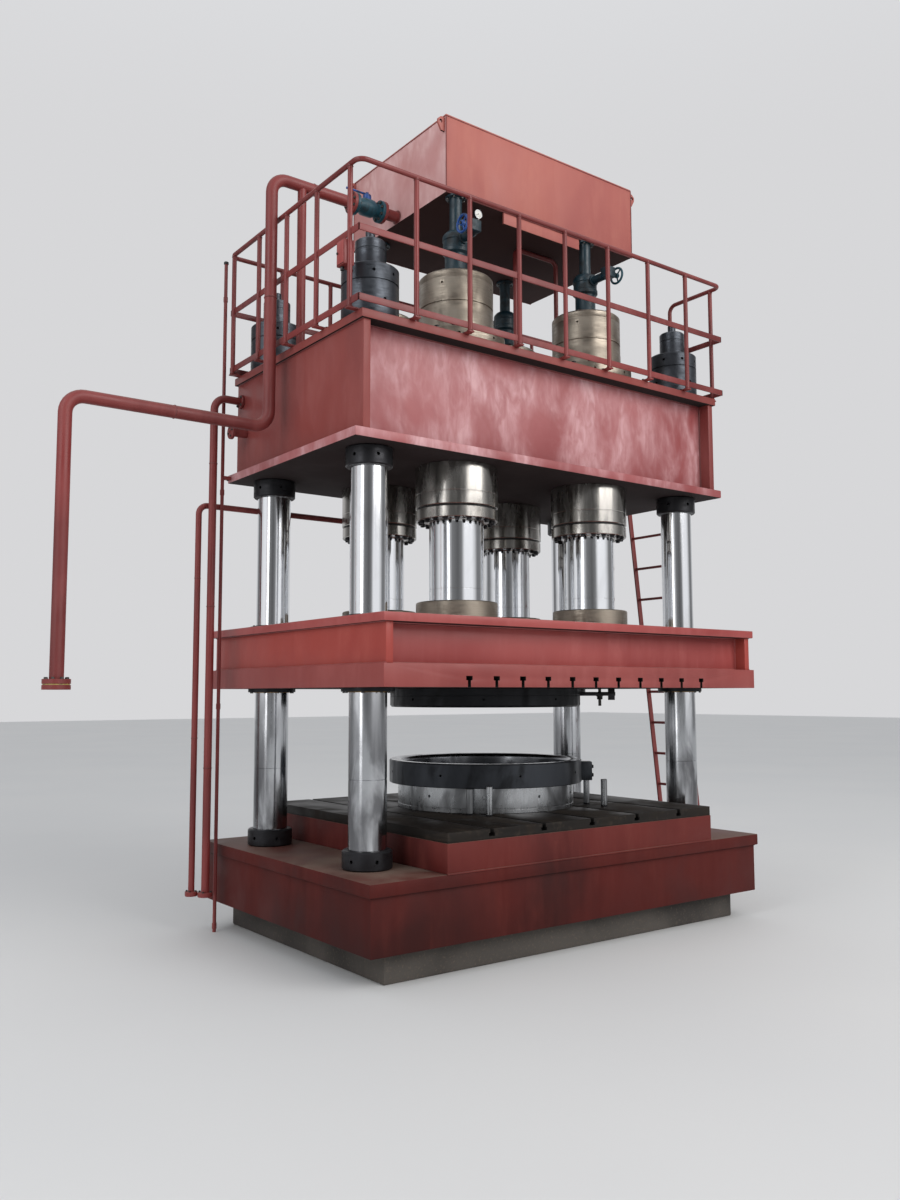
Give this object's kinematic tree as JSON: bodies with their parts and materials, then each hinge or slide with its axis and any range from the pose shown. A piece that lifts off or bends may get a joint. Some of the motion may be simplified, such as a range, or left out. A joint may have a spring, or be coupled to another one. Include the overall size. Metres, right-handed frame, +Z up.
{
  "type": "four-column hydraulic press",
  "caption": "Large four-column hydraulic press: ram-driven slide between bed and crown, ring dies, roof tank with prefill valves, railing, ladder and pipes.",
  "frame": {"origin": "on the floor, under the middle between the four columns", "axes": "+Z up, +X to the right of someone who faces the front, +Y from front to back"},
  "size_m": [5.2625, 2.276, 5.5439],
  "materials": {
    "concrete_grey": "rough dark grey",
    "dark_red_paint": "satin dark red, dusty",
    "red_paint": "satin oxide red",
    "red_primer": "matt blotchy oxide red primer",
    "polished_steel": "polished hard chrome",
    "machined_steel": "turned, warm grey",
    "black_steel": "blackened, satin",
    "bronze": "dull bronze",
    "dark_steel": "dark scaled steel",
    "bright_steel": "bright turned steel",
    "teal_paint": "satin teal enamel",
    "blue_paint": "satin blue enamel"
  },
  "bodies": {
    "frame": {"foundation": "concrete_grey", "base": "dark_red_paint", "bed_body": "red_paint", "tank_portal": "red_paint", "railing": "red_paint", "ladder": "red_paint", "return_pipe": "red_paint", "feed_pipe": "red_paint", "lift_pipe": "red_paint", "conduit": "red_paint", "crown": "red_primer", "oil_tank": "red_primer", "column_front_left": "polished_steel", "column_front_right": "polished_steel", "column_rear_left": "polished_steel", "column_rear_right": "polished_steel", "main_cylinder_front_left": "machined_steel", "main_cylinder_front_right": "machined_steel", "main_cylinder_rear_left": "machined_steel", "main_cylinder_rear_right": "machined_steel", "base_nut_front_left": "black_steel", "base_nut_front_right": "black_steel", "base_nut_rear_left": "black_steel", "base_nut_rear_right": "black_steel", "lower_crown_nut_front_left": "black_steel", "lower_crown_nut_front_right": "black_steel", "lower_crown_nut_rear_left": "black_steel", "lower_crown_nut_rear_right": "black_steel", "upper_crown_nut_front_left": "black_steel", "upper_crown_nut_front_right": "black_steel", "upper_crown_nut_rear_left": "black_steel", "upper_crown_nut_rear_right": "black_steel", "bed_slot_plate": "dark_steel", "die_ring": "dark_steel", "support_ring": "bright_steel", "post_front_left_inner": "bright_steel", "post_front_left_outer": "bright_steel", "post_front_right_inner": "bright_steel", "post_front_right_outer": "bright_steel", "prefill_valve_front_left": "teal_paint", "prefill_valve_front_right": "teal_paint", "prefill_valve_rear_left": "teal_paint", "prefill_valve_rear_right": "teal_paint", "shutoff_valve": "blue_paint"},
    "slide": {"ram_front_left": "polished_steel", "ram_front_right": "polished_steel", "ram_rear_left": "polished_steel", "ram_rear_right": "polished_steel", "slide_body": "red_paint", "slide_slot_plate": "red_paint", "guide_bush_front_left": "bronze", "guide_bush_front_right": "bronze", "guide_bush_rear_left": "bronze", "guide_bush_rear_right": "bronze", "upper_die": "dark_steel"},
    "handwheel_front_left": {"handwheel_front_left": "blue_paint"},
    "handwheel_front_right": {"handwheel_front_right": "blue_paint"},
    "handwheel_rear_left": {"handwheel_rear_left": "blue_paint"},
    "handwheel_rear_right": {"handwheel_rear_right": "blue_paint"}
  },
  "joints": [
    {"name": "slide_travel", "type": "slide", "parent": "frame", "child": "slide", "axis": [0, 0, 1], "range_m": [-0.36, 0.48]},
    {"name": "handwheel_turn_front_left", "type": "hinge", "parent": "frame", "child": "handwheel_front_left", "pos_m": [-0.72, -0.69, 4.6905], "axis": [1, 0, 0], "continuous": true},
    {"name": "handwheel_turn_front_right", "type": "hinge", "parent": "frame", "child": "handwheel_front_right", "pos_m": [0.72, -0.69, 4.6905], "axis": [1, 0, 0], "continuous": true},
    {"name": "handwheel_turn_rear_left", "type": "hinge", "parent": "frame", "child": "handwheel_rear_left", "pos_m": [-0.72, 0.69, 4.6905], "axis": [1, 0, 0], "continuous": true},
    {"name": "handwheel_turn_rear_right", "type": "hinge", "parent": "frame", "child": "handwheel_rear_right", "pos_m": [0.72, 0.69, 4.6905], "axis": [1, 0, 0], "continuous": true}
  ]
}
